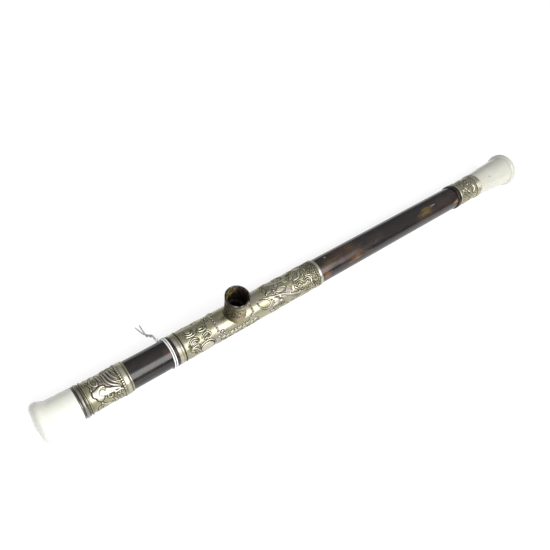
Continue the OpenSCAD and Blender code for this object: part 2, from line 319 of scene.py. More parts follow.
# Clouds and windows in the shell: x and angle of the middle, half length and half width in
# millimetres, and colour.
SHELL_WINDOWS = [
    (137, -28, 13, 8, (0.060, 0.036, 0.020)), (246, -42, 17, 7, (0.040, 0.024, 0.019)),
    (276, -42, 13, 9, (0.032, 0.019, 0.015)), (118, 0, 12, 6, (0.036, 0.018, 0.014)),
    (102, -31, 8, 3.4, (0.080, 0.045, 0.050)), (101, -61, 5, 4.2, (0.170, 0.080, 0.032)),
    (108, -13, 9, 2.4, (0.070, 0.046, 0.013)), (123, -33, 5, 2.8, (0.055, 0.030, 0.030)),
    (134, 12, 6, 2.6, (0.055, 0.028, 0.010)), (133, -66, 5, 2.6, (0.085, 0.036, 0.022)),
    (142, -57, 5, 2.6, (0.190, 0.085, 0.016)), (151, -54, 9, 2.4, (0.060, 0.036, 0.018)),
    (244, -24, 9, 3.4, (0.115, 0.078, 0.014)), (291.5, -54, 4.2, 3.0, (0.420, 0.180, 0.085)),
    (257, -12, 3.4, 0.6, (0.330, 0.290, 0.260)), (107.6, 18, 1.0, 1.0, (0.280, 0.250, 0.240)),
    (-68.6, -22, 3.4, 3.4, (0.050, 0.020, 0.016)), (-92, 140, 8, 5, (0.070, 0.034, 0.020)),
    (118, 150, 12, 5, (0.160, 0.075, 0.022)), (176, 110, 15, 4, (0.060, 0.032, 0.018)),
    (212, 175, 13, 6, (0.130, 0.062, 0.020)), (262, 130, 12, 5, (0.170, 0.090, 0.022)),
    (160, -150, 11, 5, (0.110, 0.045, 0.022)), (230, -140, 14, 4, (0.075, 0.040, 0.018)),
]


def shell_look(name):
    """Tortoiseshell: near black, with red-brown clouds and amber windows."""
    look = Look(name, IOR=1.56)
    drawn = look.scaled(0.4, 1, 1)
    cloud = look.noise(60, 5, 0.6, drawn, 0.5)
    ragged = look.math("MULTIPLY", look.math("SUBTRACT", look.noise(150, 4, 0.65, drawn, 0.4),
                                             0.5), 3.6)
    colour = look.mix(look.spread(cloud, 0.44, 0.70), (0.0070, 0.0056, 0.0048),
                      (0.022, 0.0135, 0.0105))
    for x, angle, length, width, tint in SHELL_WINDOWS:
        centre = around(x * MM, SHELL_R, math.radians(angle))
        away = look.node("ShaderNodeVectorMath", {"operation": "SUBTRACT"}, _0=look.place,
                         _1=tuple(float(v) for v in centre)).outputs[0]
        away = look.scaled(1 / (length * MM), 1 / (width * MM), 1 / (width * MM), away)
        away = look.node("ShaderNodeVectorMath", {"operation": "LENGTH"},
                         _0=away).outputs["Value"]
        share = look.spread(look.math("ADD", away, ragged), 1.55, 0.15, 0.0, 0.8)
        colour = look.mix(share, colour, tint)
    scratch = look.noise(700, 3, 0.7, look.scaled(0.12, 1, 1))
    grain = look.math("ADD", look.math("MULTIPLY", scratch, 0.5), look.noise(260, 4))
    return look.finish(colour, look.spread(scratch, 0.3, 0.75, 0.17, 0.29), grain,
                       0.05 * MM, 0.35)


def horn_look(name):
    """Black horn."""
    look = Look(name, IOR=1.44)
    grain = look.noise(220, 4, 0.6, look.scaled(0.3, 1, 1))
    colour = look.mix(look.spread(grain, 0.4, 0.7), (0.007, 0.006, 0.0055), (0.030, 0.018, 0.014))
    return look.finish(colour, look.spread(grain, 0.3, 0.7, 0.26, 0.42), grain, 0.04 * MM, 0.4)


def white_look(name, tint, shade, speck, inclusion):
    """Polished white stone: faint clouds, drawn veins, a few dark specks, and one larger
    inclusion at (x, radius, angle)."""
    look = Look(name, IOR=1.5, Subsurface_Weight=0.25, Subsurface_Scale=0.004,
                Subsurface_Radius=(1.0, 0.8, 0.5))
    cloud = look.noise(38, 5, 0.6, look.scaled(0.5, 1, 1), 0.8)
    veins = look.noise(160, 5, 0.7, look.scaled(0.15, 1, 1), 1.2)
    colour = look.mix(look.spread(cloud, 0.35, 0.7), tint, shade)
    colour = look.mix(look.math("MULTIPLY", look.spread(veins, 0.58, 0.74), 0.22), colour,
                      tuple(0.86 * c for c in shade))
    dots = look.node("ShaderNodeTexVoronoi", Vector=look.place, Scale=speck, Randomness=1.0)
    pick = look.node("ShaderNodeSeparateColor", Color=dots.outputs["Color"]).outputs[0]
    mark = look.math("MULTIPLY", look.spread(dots.outputs["Distance"], 0.075, 0.04),
                     look.math("GREATER_THAN", pick, 0.9))
    colour = look.mix(look.math("MULTIPLY", mark, 0.6), colour, (0.30, 0.27, 0.22))
    x, radius, angle = inclusion
    centre = around(x * MM, radius * MM, math.radians(angle))
    away = look.node("ShaderNodeVectorMath", {"operation": "DISTANCE"}, _0=look.place,
                     _1=tuple(float(v) for v in centre)).outputs["Value"]
    colour = look.mix(look.spread(away, 1.25 * MM, 0.45 * MM, 0.0, 0.85), colour,
                      (0.15, 0.14, 0.11))
    return look.finish(colour, look.spread(veins, 0.3, 0.75, 0.16, 0.30), look.noise(120, 3),
                       0.06 * MM, 0.3)


def cotton_look(name, white):
    """Soft thread with fine fibres. white is how pale the thread is; a low white is painted shade.
    """
    look = Look(name, Sheen_Weight=0.3, Sheen_Roughness=0.5, IOR=1.35)
    fibre = look.noise(5200, 3, 0.7)
    soil = look.noise(260, 3)
    clean, soiled = (white, white, white), (0.90 * white, 0.89 * white, 0.87 * white)
    colour = look.mix(look.spread(soil, 0.4, 0.75), clean, soiled)
    colour = look.mix(look.math("MULTIPLY", fibre, 0.15), colour, (0.4, 0.39, 0.38))
    return look.finish(colour, 0.9, fibre, 0.08 * MM, 0.8)


def bamboo_look(name):
    """Dry bamboo: long straight fibres."""
    look = Look(name)
    fibre = look.noise(1400, 4, 0.6, look.scaled(0.03, 1, 1))
    colour = look.mix(fibre, (0.50, 0.36, 0.17), (0.72, 0.58, 0.34))
    return look.finish(colour, look.spread(fibre, 0.3, 0.7, 0.45, 0.7), fibre, 0.05 * MM, 0.6)


def brass_look(name):
    """Drawn brass tube, dulled by smoke."""
    look = Look(name, Metallic=0.95)
    stain = look.noise(300, 5, 0.6)
    colour = look.mix(look.spread(stain, 0.35, 0.7), (0.62, 0.45, 0.18), (0.16, 0.10, 0.05))
    return look.finish(colour, look.spread(stain, 0.3, 0.7, 0.25, 0.55),
                       look.noise(2500, 2, 0.5, look.scaled(0.1, 1, 1)), 0.02 * MM, 0.5)


def smoked_look(name):
    """The socket's inner wall: black from smoke, with a golden-brown patina colour laid on the back
    wall near the mouth and fading downwards, as painted light falling in.
    """
    look = Look(name, Metallic=0.45)
    cloud = look.noise(260, 5, 0.6)
    spot = look.node("ShaderNodeSeparateXYZ", Vector=look.place)
    side = look.math("ADD", look.math("MULTIPLY", spot.outputs["Y"], 0.85),
                     look.math("MULTIPLY", spot.outputs["X"], -0.5))
    # Painted light: golden brown on the back wall near the mouth, where light falls in, fading
    # downwards.
    painted_light = look.math("MULTIPLY", look.spread(side, 0.0025, 0.0080),
                     look.spread(cloud, 0.36, 0.60))
    painted_light = look.math("MULTIPLY", painted_light, look.spread(spot.outputs["Z"], -0.0105, -0.002))
    colour = look.mix(look.spread(cloud, 0.4, 0.7), (0.010, 0.007, 0.007), (0.05, 0.032, 0.026))
    return look.finish(look.mix(painted_light, colour, (0.34, 0.24, 0.07)),
                       look.spread(cloud, 0.3, 0.7, 0.40, 0.62), cloud, 0.15 * MM, 0.6)


def worn_black_look(name):
    """Blackened metal with small worn places."""
    look = Look(name, Metallic=0.85)
    patch = look.noise(420, 4, 0.6)
    colour = look.mix(look.spread(patch, 0.42, 0.68), (0.035, 0.032, 0.028), (0.26, 0.24, 0.18))
    return look.finish(colour, look.spread(patch, 0.3, 0.7, 0.35, 0.55), patch, 0.08 * MM, 0.5)


# ---- string ----

STRAND_R = 0.62 * MM
PLY_OFFSET = 0.29 * MM
PLY_R = 0.36 * MM
PLY_PITCH = 3.4 * MM
# Centre line of the two loose ends, as in the CAD source: x, y and height above the axis.
TAIL_ROUTE = [
    (-69.0, 14.2, 5.0), (-69.1, 16.4, 4.6), (-69.2, 18.6, 3.2), (-69.3, 20.6, 1.2),
    (-69.3, 22.3, -1.2), (-69.4, 23.9, -3.8), (-69.4, 25.5, -6.4), (-69.4, 27.2, -8.9),
    (-69.5, 29.2, -11.2), (-69.6, 31.5, -13.2), (-69.7, 34.0, -14.7), (-69.8, 36.6, -15.6),
    (-70.0, 39.0, -16.1), (-70.2, 41.2, -16.4), (-70.4, 43.2, -16.5),
]
TAIL_FORK = 10
TAIL_TWIST = 50
TAIL_OFFSET = 0.72
TAIL_SPREAD = 0.35


def tail_points(side):
    """Points of one strand, which turns round the centre line and then lies beside it."""
    route = [Vector(p) for p in TAIL_ROUTE]
    points = []
    for i, place in enumerate(route):
        run = (route[min(i + 1, len(route) - 1)] - route[max(i - 1, 0)]).normalized()
        across = run.cross(Vector((1, 0, 0))).normalized()
        phase = math.radians(TAIL_TWIST * (TAIL_FORK - i)) if i < TAIL_FORK else 0.0
        reach = side * (TAIL_OFFSET + TAIL_SPREAD * max(0, i - TAIL_FORK))
        place = place + reach * (math.cos(phase) * Vector((1, 0, 0)) + math.sin(phase) * across)
        points.append(place * MM + Vector((0, 0, AXIS_Z)))
    return np.array(points, float)


def smooth_path(points, step, closed=False):
    """A Catmull-Rom curve through the points, evenly spaced."""
    points = np.array(points, float)
    if closed:
        padded = np.vstack([points[-1:], points, points[:2]])
    else:
        padded = np.vstack([2 * points[0] - points[1], points, 2 * points[-1] - points[-2]])
    pieces = []
    for i in range(1, len(padded) - 2):
        a, b, c, d = padded[i - 1:i + 3]
        t = np.linspace(0, 1, 12, endpoint=False)[:, None]
        pieces.append(0.5 * (2 * b + (c - a) * t + (2 * a - 5 * b + 4 * c - d) * t ** 2
                             + (3 * b - a - 3 * c + d) * t ** 3))
    dense = np.vstack([*pieces, padded[-2:-1]])
    run = np.concatenate([[0], np.cumsum(np.linalg.norm(np.diff(dense, axis=0), axis=1))])
    count = max(2, round(run[-1] / step))
    even = np.linspace(0, run[-1], count + 1)
    return np.stack([np.interp(even, run, dense[:, k]) for k in range(points.shape[1])], axis=1)


def unit(vectors):
    return vectors / np.linalg.norm(vectors, axis=1)[:, None]


def frames(path, closed):
    """Two directions across a path at each of its points, which don't spin along it."""
    if closed:
        run = unit(np.roll(path, -1, axis=0) - np.roll(path, 1, axis=0))
    else:
        run = unit(np.gradient(path, axis=0))
    start = np.cross(run[0], (0.3, 0.2, 1.0))
    side = [start / np.linalg.norm(start)]
    for direction in run[1:]:
        moved = side[-1] - direction * np.dot(side[-1], direction)
        side.append(moved / np.linalg.norm(moved))
    side = np.array(side)
    return side, np.cross(run, side)


def tube(path, radius, closed=False, sides=10):
    """Points and faces of a round tube along a path, whose radius may change on the way."""
    side, across = frames(path, closed)
    a = np.arange(sides) * 2 * math.pi / sides
    radius = np.broadcast_to(radius, len(path))[:, None, None]
    ring = np.cos(a)[None, :, None] * side[:, None] + np.sin(a)[None, :, None] * across[:, None]
    points = (path[:, None] + radius * ring).reshape(-1, 3)
    faces = [tuple(f) for f in grid_faces(len(path), sides, wrap_rows=closed)]
    if not closed:
        last = (len(path) - 1) * sides
        faces += [tuple(range(sides)), tuple(last + k for k in range(sides))]
    return points, faces


def joined(parts):
    """Points and faces of several meshes as one."""
    points, faces, start = [], [], 0
    for part_points, part_faces in parts:
        points.append(part_points)
        faces += [tuple(start + int(k) for k in f) for f in part_faces]
        start += len(part_points)
    return np.vstack(points), faces


def twisted(path, closed=False):
    """Plies of thread that turn round each other along a path."""
    side, across = frames(path, closed)
    gaps = np.linalg.norm(np.diff(path, axis=0), axis=1)
    run = np.concatenate([[0], np.cumsum(gaps)])
    length = run[-1] + (np.linalg.norm(path[0] - path[-1]) if closed else 0)
    turns = max(1, round(length / PLY_PITCH)) / length
    parts = []
    for ply in range(3):
        phase = 2 * math.pi * (run * turns + ply / 3)
        centre = path + PLY_OFFSET * (np.cos(phase)[:, None] * side
                                      + np.sin(phase)[:, None] * across)
        parts.append(tube(centre, PLY_R, closed))
    return joined(parts)


cotton = cotton_look("cotton", 0.93)
# The loose ends are the same thread made darker: painted shade.
cotton_painted_shade = cotton_look("cotton_painted_shade", 0.52)


def make_tails():
    """The two loose ends of the string, which the knot lets go down to the table."""
    for side, node in ((1, "string_tail_a"), (-1, "string_tail_b")):
        route = tail_points(side)
        path = smooth_path(route, 0.3 * MM)
        points, faces = twisted(path)
        piece = build(node + "_thread", points, faces, cotton_painted_shade, STRING, [node],
                      sharp=0)


make_tails()


def make_loops():
    """The two turns of string round the short stem, a little aslant."""
    for node, slant, lag in (("string_loop_a", 0.55 * MM, 0.4), ("string_loop_b", 0.35 * MM, 0.9)):
        x0, x1, outer = extent(node)
        angle = np.linspace(0, 2 * math.pi, 300, endpoint=False)
        x = (x0 + x1) / 2 + slant * np.cos(angle - lag)
        radius = outer - STRAND_R + 0.03 * MM * (3 + np.sin(3 * angle))
        points, faces = twisted(around(x, radius, angle), closed=True)
        build(node + "_thread", points, faces, cotton, STRING, [node], sharp=0)


def make_knot():
    """A tight overhand knot, as a trefoil of thread."""
    low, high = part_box("string_knot")
    centre, size = np.array((low + high) / 2), (high.x - low.x) / 2
    t = np.linspace(0, 2 * math.pi, 120, endpoint=False)
    bend = np.stack([np.sin(t) + 2 * np.sin(2 * t), np.cos(t) - 2 * np.cos(2 * t),
                     -1.4 * np.sin(3 * t)], axis=1) / 3
    points, faces = tube(centre + bend * (size - 0.45 * MM), STRAND_R, closed=True, sides=14)
    build("string_knot_thread", points, faces, cotton, STRING, ["string_knot"], sharp=0)


make_loops()
make_knot()


# ---- chased relief ----

class Relief:
    """Heights of chased work on a sleeve, over x in millimetres and the angle in degrees."""

    def __init__(self, x, angle, radius):
        self.x, self.angle = x, angle
        self.arc = math.radians(radius)
        self.turn = 0
        self.raised = np.zeros((len(x), len(angle)))
        self.cut = np.zeros_like(self.raised)
        self.engraved = np.zeros_like(self.raised)

    def window(self, points, reach):
        """The part of the grid within reach of the points."""
        low, high = points.min(axis=0) - reach, points.max(axis=0) + reach
        rows = slice(*np.searchsorted(self.x, (low[0], high[0])))
        columns = slice(*np.searchsorted(self.angle * self.arc, (low[1], high[1])))
        return rows, columns

    def lay(self, points, reach, shape):
        """Raises and cuts the metal by shape(x, arc) near the points, wherever they wrap to."""
        flat = np.array(points, float) * (1, self.arc)
        for turn in (-360, 0, 360):
            moved = flat + (0, (self.turn + turn) * self.arc)
            where = self.window(moved, reach)
            if self.raised[where].size:
                x = self.x[where[0], None]
                v = self.angle[None, where[1]] * self.arc
                raised, cut = shape(moved, x, v)
                self.raised[where] = np.maximum(self.raised[where], raised)
                self.cut[where] = np.maximum(self.cut[where], cut)

    def both_sides(self, draw):
        """Draws the same motifs on the seen side and half a turn round."""
        for self.turn in (0, 180):
            draw(self)
        self.turn = 0

    def smoothed(self, points, step=0.45, closed=False):
        """A smooth path through (x, angle) points."""
        scale = np.array((1, self.arc))
        return smooth_path(np.array(points, float) * scale, step, closed) / scale

    def stroke(self, points, width=0.75, height=0.36, groove=0.26, taper=True):
        """A raised line through (x, angle) points, with a chased line on both sides."""

        def shape(flat, x, v):
            away, share = distance_to(flat, x, v)
            thin = np.clip(4 * np.minimum(share, 1 - share), 0.35, 1) if taper else 1.0
            return ridge(away, width * thin, height * np.sqrt(thin), groove)

        self.lay(self.smoothed(points), width + 0.7, shape)

    def engrave(self, points, width=0.34, depth=0.34):
        """A chased line that also cuts through raised work."""
        held = self.raised, self.cut
        self.raised, self.cut = np.zeros_like(self.raised), self.engraved
        self.lay(self.smoothed(points), width + 0.5, lambda flat, x, v: (
            0.0, depth * np.exp(-(distance_to(flat, x, v)[0] / width) ** 2)))
        self.raised, self.cut = held

    def ring(self, x, angle, radius):
        """A punched ring round a knob that is set into the sleeve."""
        turn = np.linspace(0, 2 * math.pi, 13)
        self.engrave([(x + radius * math.cos(t), angle + radius * math.sin(t) / self.arc)
                      for t in turn], 0.24, 0.17)

    def channel(self, x, width, depth=0.3):
        """A turned groove all the way round."""
        cut = depth * np.exp(-((self.x - x) / width) ** 2)
        self.engraved = np.maximum(self.engraved, cut[:, None])

    def leaf(self, x, angle, length, width, heading, height=0.4):
        """A pointed petal, raised, with a vein down its middle. heading is in degrees."""
        cos, sin = math.cos(math.radians(heading)), math.sin(math.radians(heading))

        def shape(flat, gx, gv):
            dx, dv = gx - flat[0, 0], gv - flat[0, 1]
            along = np.clip((dx * cos + dv * sin) / (length / 2), -1.5, 1.5)
            across = (dv * cos - dx * sin) / (width / 2)
            edge = np.abs(across) - (1 - along ** 2)
            raised = height * np.sqrt(np.clip(-edge, 0, 1))
            near = np.exp(-(np.clip(edge, 0, 9) * width / 2 / 0.5) ** 2) * (edge > 0)
            cut = 0.26 * near * (np.abs(along) < 1.15)
            middle = np.exp(-(across * width / 2 / 0.22) ** 2) * (np.abs(along) < 0.8)
            cut = np.maximum(cut, 0.2 * middle * (edge < 0))
            return raised * (1 - 0.75 * middle), cut

        self.lay([(x, angle)], max(length, width) / 2 + 1, shape)

    def bead(self, x, angle, radius=0.6, height=None):
        """A round knob inside a punched ring."""
        top = height or 0.75 * radius

        def shape(flat, gx, gv):
            away = np.hypot(gx - flat[0, 0], gv - flat[0, 1])
            raised = top * np.sqrt(np.clip(1 - (away / radius) ** 2, 0, 1))
            return raised, 0.26 * np.exp(-((away - radius - 0.25) / 0.32) ** 2)

        self.lay([(x, angle)], radius + 1, shape)

    def mound(self, points, height):
        """A raised field with a rounded edge inside a closed outline of (x, angle) points."""
        edge = 0.9

        def shape(flat, x, v):
            away, _ = distance_to(flat, x, v)
            inside = winding(flat, x, v)
            rise = 1 - (1 - np.clip(away / edge, 0, 1)) ** 2
            cut = 0.32 * np.exp(-((away - 0.3) / 0.4) ** 2) * ~inside
            return height * rise * inside, cut

        self.lay(self.smoothed(points, 0.5, True), edge + 0.9, shape)

    def scroll(self, x, angle, radius, start, sweep, rings=3, gap=1.75, width=0.6, height=0.34):
        """A cloud head: nested arcs round a knob. start and sweep are in degrees."""
        for k in range(rings):
            r = radius - gap * k
            if r > 0.7:
                turn = np.radians(np.linspace(start + 12 * k, start + sweep - 8 * k, 14))
                self.stroke([(x + r * math.cos(t), angle + r * math.sin(t) / self.arc)
                             for t in turn], width * (1 - 0.1 * k), height)
        self.bead(x, angle, 0.7)

    def curl(self, x, angle, radius, start, sweep, tail=(), width=0.8, height=0.4):
        """A spiral that tightens to a knob, with a tail through further (x, angle) points."""
        t = np.linspace(1, 0, 18)
        turn, r = np.radians(start + sweep * (1 - t)), radius * (0.25 + 0.75 * t)
        spiral = [(x + q * math.cos(a), angle + q * math.sin(a) / self.arc)
                  for a, q in zip(turn, r)]
        self.stroke([*tail, *spiral], width, height, taper=False)

    def punched(self, x0, x1, pitch, radius, seed):
        """Small punch marks scattered from x0 to x1, all the way round."""
        marks = np.random.default_rng(seed)
        count = round((x1 - x0) * 360 * self.arc / pitch ** 2)
        for x, angle in zip(marks.uniform(x0, x1, count), marks.uniform(-180, 180, count)):
            self.bead(x, angle, radius, 0.18)

    def height(self):
        """Heights in millimetres, where a chased line only shows beside the raised work."""
        work = self.raised - self.cut * np.clip(1 - self.raised / 0.12, 0, 1)
        return work - self.engraved * np.where(self.raised > 0.1, 1.4, 1.0)


def distance_to(path, x, v):
    """Distance from each grid point to a path, and how far along the path that is."""
    best = np.full(np.broadcast(x, v).shape, 1e9)
    share = np.zeros_like(best)
    count = max(1, len(path) - 1)
    for i in range(count):
        (ax, av), (bx, bv) = path[i], path[min(i + 1, len(path) - 1)]
        long = max((bx - ax) ** 2 + (bv - av) ** 2, 1e-12)
        t = np.clip(((x - ax) * (bx - ax) + (v - av) * (bv - av)) / long, 0, 1)
        away = np.hypot(x - ax - t * (bx - ax), v - av - t * (bv - av))
        nearer = away < best
        best = np.where(nearer, away, best)
        share = np.where(nearer, (i + t) / count, share)
    return best, share


def winding(path, x, v):
    """True inside a closed path."""
    inside = np.zeros(np.broadcast(x, v).shape, bool)
    for (ax, av), (bx, bv) in zip(path, np.roll(path, -1, axis=0)):
        if av != bv:
            crosses = (av > v) != (bv > v)
            inside ^= crosses & (x < (bx - ax) * (v - av) / (bv - av) + ax)
    return inside


def ridge(away, width, height, groove):
    """A rounded ridge, and the chased lines at its two edges."""
    raised = height * np.clip(1 - (away / width) ** 2, 0, 1) ** 0.8
    return raised, groove * np.exp(-((away - width - 0.18) / 0.32) ** 2)


SLEEVE_EDGE = 0.25
SLEEVE_SHARP = math.radians(70)


def sleeve(name, node, inner, relief):
    """A silver tube whose outside carries the relief, which dies away at its two ends."""
    x0, x1, radius = extent(node)
    height = relief.height()
    ends = np.clip(np.minimum(relief.x - relief.x[0], relief.x[-1] - relief.x) / SLEEVE_EDGE, 0, 1)
    height = height * ends[:, None] - 0.12 * (1 - ends[:, None])
    angle = np.radians(relief.angle)[None, :]
    x = np.repeat(relief.x[:, None] * MM, len(relief.angle), axis=1)
    wander = 0.03 * (np.sin(3 * angle + 120 * x) + np.sin(2 * angle - 210 * x + 1))
    outer = around(x, radius + (height + wander) * MM, angle)
    inner_ring = [around(np.full_like(angle, end), inner, angle) for end in (x0, x1)]
    points = np.concatenate([inner_ring[0], outer, inner_ring[1]]).reshape(-1, 3)
    faces = grid_faces(len(relief.x) + 2, len(relief.angle), wrap_rows=True)
    mesh = bpy.data.meshes.new(name)
    mesh.from_pydata(points.tolist(), [], faces.tolist())
    mesh.flip_normals()
    values = np.concatenate([np.zeros(angle.size), height.ravel(), np.zeros(angle.size)])
    mark_relief(mesh, values)
    mesh.shade_smooth()
    mesh.set_sharp_from_angle(angle=SLEEVE_SHARP)
    return place_piece(name, mesh, [silver], PIPE, [node])


def new_relief(node, step=0.36):
    """An empty relief over the whole outside of a sleeve."""
    x0, x1, radius = extent(node)
    x = np.linspace(x0, x1, round((x1 - x0) / (step * MM))) / MM
    count = round(2 * math.pi * radius / (step * MM))
    return Relief(x, np.linspace(-180, 180, count, endpoint=False), radius / MM)


def near_ferrule_motifs(work):
    """A lobed cloud with flowing bands and curls."""
    work.mound([(-134.6, -24), (-133.9, -15), (-131.6, -12.5), (-129.4, -10), (-126.8, -7),
                (-124.2, -10), (-123.0, -19), (-120.2, -27), (-116.4, -35), (-112.6, -43),
                (-113.6, -48), (-118.4, -44), (-122.2, -42), (-124.6, -48), (-126.6, -47),
                (-128.0, -55), (-130.2, -58), (-132.2, -50), (-132.8, -40), (-134.4, -33)], 0.46)
    work.engrave([(-126.0, -45), (-128.6, -41), (-129.8, -32), (-128.9, -23), (-126.8, -19),
                  (-125.0, -24), (-124.8, -30)])
    work.engrave([(-128.6, -20), (-126.4, -15), (-124.2, -17), (-123.6, -22), (-124.8, -25)])
    work.engrave([(-127.4, -30), (-126.4, -34), (-125.0, -36)], 0.28, 0.24)
    work.stroke([(-121.6, 42), (-121.2, 20), (-120.9, 0), (-119.6, -14), (-117.0, -26),
                 (-113.4, -37), (-111.6, -44)], 0.85, 0.42)
    work.stroke([(-119.2, 44), (-118.9, 22), (-118.2, 2), (-116.4, -13), (-113.6, -25),
                 (-111.5, -32)], 0.8, 0.42)
    work.stroke([(-116.6, 46), (-116.4, 26), (-115.4, 6), (-113.2, -8), (-111.5, -18)], 0.8, 0.38)
    work.stroke([(-113.6, 48), (-113.8, 30), (-112.6, 12), (-111.4, 2)], 0.7, 0.34)
    work.curl(-121.6, -55, 2.9, 110, 250, [(-117.9, -47), (-119.6, -45)])
    work.curl(-116.3, -62, 2.7, 130, -260, [(-111.6, -56), (-113.6, -51)])
    work.stroke([(-130.6, 46), (-131.6, 30), (-131.9, 14), (-130.6, 3), (-128.4, 0), (-127.2, 8),
                 (-127.7, 18), (-129.0, 22)], 0.75, 0.4)
    work.stroke([(-134.2, 26), (-133.2, 12), (-132.9, 0), (-133.6, -8)], 0.6, 0.3)
    work.stroke([(-126.4, 46), (-125.4, 30), (-124.8, 14), (-123.8, 2)], 0.8, 0.38)
    work.curl(-136.2, 26, 1.7, 0, 300, width=0.55, height=0.3)
    work.bead(-133.6, -7, 0.8)
    work.bead(-130.0, -67, 0.8)
    work.leaf(-133.0, -84, 6.5, 2.4, 70)
    work.stroke([(-130.6, -64), (-129.0, -74), (-126.2, -82), (-122.4, -84)], 0.75, 0.38)
    work.stroke([(-120.6, -68), (-119.4, -80), (-118.8, -92), (-120.2, -104)], 0.8, 0.4)
    work.curl(-127.8, -96, 3.1, 20, 290, [(-119.6, -100), (-123.0, -92)])
    work.leaf(-114.6, -84, 7.0, 2.6, 100)
    work.leaf(-134.0, -108, 5.0, 2.0, 40)
    work.scroll(-114.8, -112, 3.4, 200, 220, 2)
    work.leaf(-129.5, 62, 6.5, 2.4, 60)
    work.curl(-119.4, 60, 2.9, 250, 280)


def near_ferrule_relief():
    """The motifs, and grooves beside the two beaded wires."""
    work = new_relief("near_ferrule", 0.3)
    work.both_sides(near_ferrule_motifs)
    x0, x1, _ = extent("near_inner_bead_wire")
    work.channel((x0 + x1) / 2 / MM, 1.0, 0.26)
    x0, x1, _ = extent("near_bead_wire")
    work.channel((x0 + x1) / 2 / MM - 0.8, 0.3, 0.2)
    work.channel((x0 + x1) / 2 / MM + 0.8, 0.25, 0.12)
    return work


def branch(work):
    """The flowering branch on the long side of the saddle."""
    work.stroke([(21.6, -19), (22.4, -36), (25.0, -50), (28.6, -58), (31.6, -57), (34.0, -47),
                 (34.4, -34), (32.4, -22), (29.0, -14), (25.4, -12)], 0.6, 0.2)
    work.stroke([(31.0, -15), (34.6, -20), (39.6, -27), (45.6, -32), (50.2, -39), (54.4, -49),
                 (60.4, -58), (68.0, -66), (76.0, -72), (84.0, -73)], 0.85, 0.44)
    work.stroke([(52.0, -44), (56.6, -56), (63.6, -68), (71.0, -77), (79.0, -84)], 0.65, 0.34)
    work.leaf(48.6, -12, 10.6, 5.2, 4, 0.34)
    work.stroke([(43.2, -14), (46.6, -22), (50.6, -22), (54.0, -14), (50.8, -5), (46.8, -4),
                 (43.2, -14)], 0.5, 0.4, 0.34)
    for x, a, long, wide, way in ((37.6, 1, 7.6, 3.0, 12), (56.2, 7, 7.4, 2.8, -24),
                                  (42.0, -12, 5.4, 2.2, 60), (36.6, -26, 7.0, 3.0, -32),
                                  (40.0, -40, 7.6, 2.6, -14), (40.4, -49, 8.4, 2.4, -6),
                                  (39.8, -60, 10.5, 2.8, 6), (47.0, 12, 6.4, 2.4, 30),
                                  (64.0, 8, 7.6, 2.8, 30), (72.6, 4, 9.0, 3.0, 52),
                                  (33.8, 14, 6.6, 2.6, 70), (58.6, 26, 8.0, 3.0, 16),
                                  (44.0, 28, 8.6, 3.0, -18), (80.6, 14, 7.0, 2.6, 74),
                                  (34.6, -84, 8.0, 3.0, -30), (48.6, -86, 8.6, 3.2, -22),
                                  (60.2, -84, 7.4, 2.8, 28), (89.2, -94, 5.0, 2.2, 60)):
        work.leaf(x, a, long, wide, way, 0.42)
    for k in range(5):
        work.stroke([(49.8 + 0.5 * k, -30 - 5.2 * k), (54.4 + 0.4 * k, -27 - 5.0 * k),
                     (60.2 - 0.3 * k, -20 - 5.6 * k)], 0.42, 0.34, 0.14)
    work.bead(45.4, -39, 1.55, 0.75)
    work.bead(45.2, -56, 1.5, 0.7)
    work.bead(33.9, -6, 0.95)
    work.bead(29.6, -14, 0.8)
    work.bead(41.6, -5, 0.8)
    for x, a in ((65.8, -51), (66.8, -60), (69.4, -57), (73.0, -62), (77.8, -61), (75.6, -5)):
        work.bead(x, a, 0.8)
    for k in range(7):
        x = 36.4 + 1.85 * k
        work.stroke([(x, -67), (x - 0.5, -74)], 0.42, 0.28)
    work.scroll(68.2, -38, 4.9, 165, -170, 3, 1.9, 0.5)
    work.scroll(77.4, -41, 4.7, 165, -165, 3, 1.9, 0.5)
    work.stroke([(62.2, -22), (64.6, -9), (69.6, -7), (73.0, 2), (74.6, 16),
                 (78.6, 26)], 0.8, 0.42)
    work.stroke([(62.6, -30), (63.6, -41), (66.0, -47)], 0.8, 0.42)
    work.stroke([(79.6, -28), (81.8, -38), (81.2, -52), (83.2, -64)], 0.7, 0.38)
    work.stroke([(76.6, -12), (80.4, -16), (84.2, -24)], 0.6, 0.32)
    work.scroll(52.4, 44, 4.6, -30, 230, 3)
    work.scroll(66.6, 36, 5.0, 190, 230, 3)
    work.scroll(38.2, 48, 4.4, 10, 220, 3)
    work.scroll(77.6, 52, 4.6, 170, -230, 3)
    work.stroke([(33.0, 34), (40.6, 30), (49.0, 22), (57.4, 17), (65.4, 20)], 0.7, 0.36)
    work.curl(70.6, -96, 3.4, 90, 280, [(60.6, -96), (65.4, -88)])
    work.curl(81.0, -98, 3.0, 200, -280, [(86.8, -80), (86.0, -90)])
    work.curl(41.6, -103, 3.4, 60, 290, [(53.0, -100), (47.6, -95)])


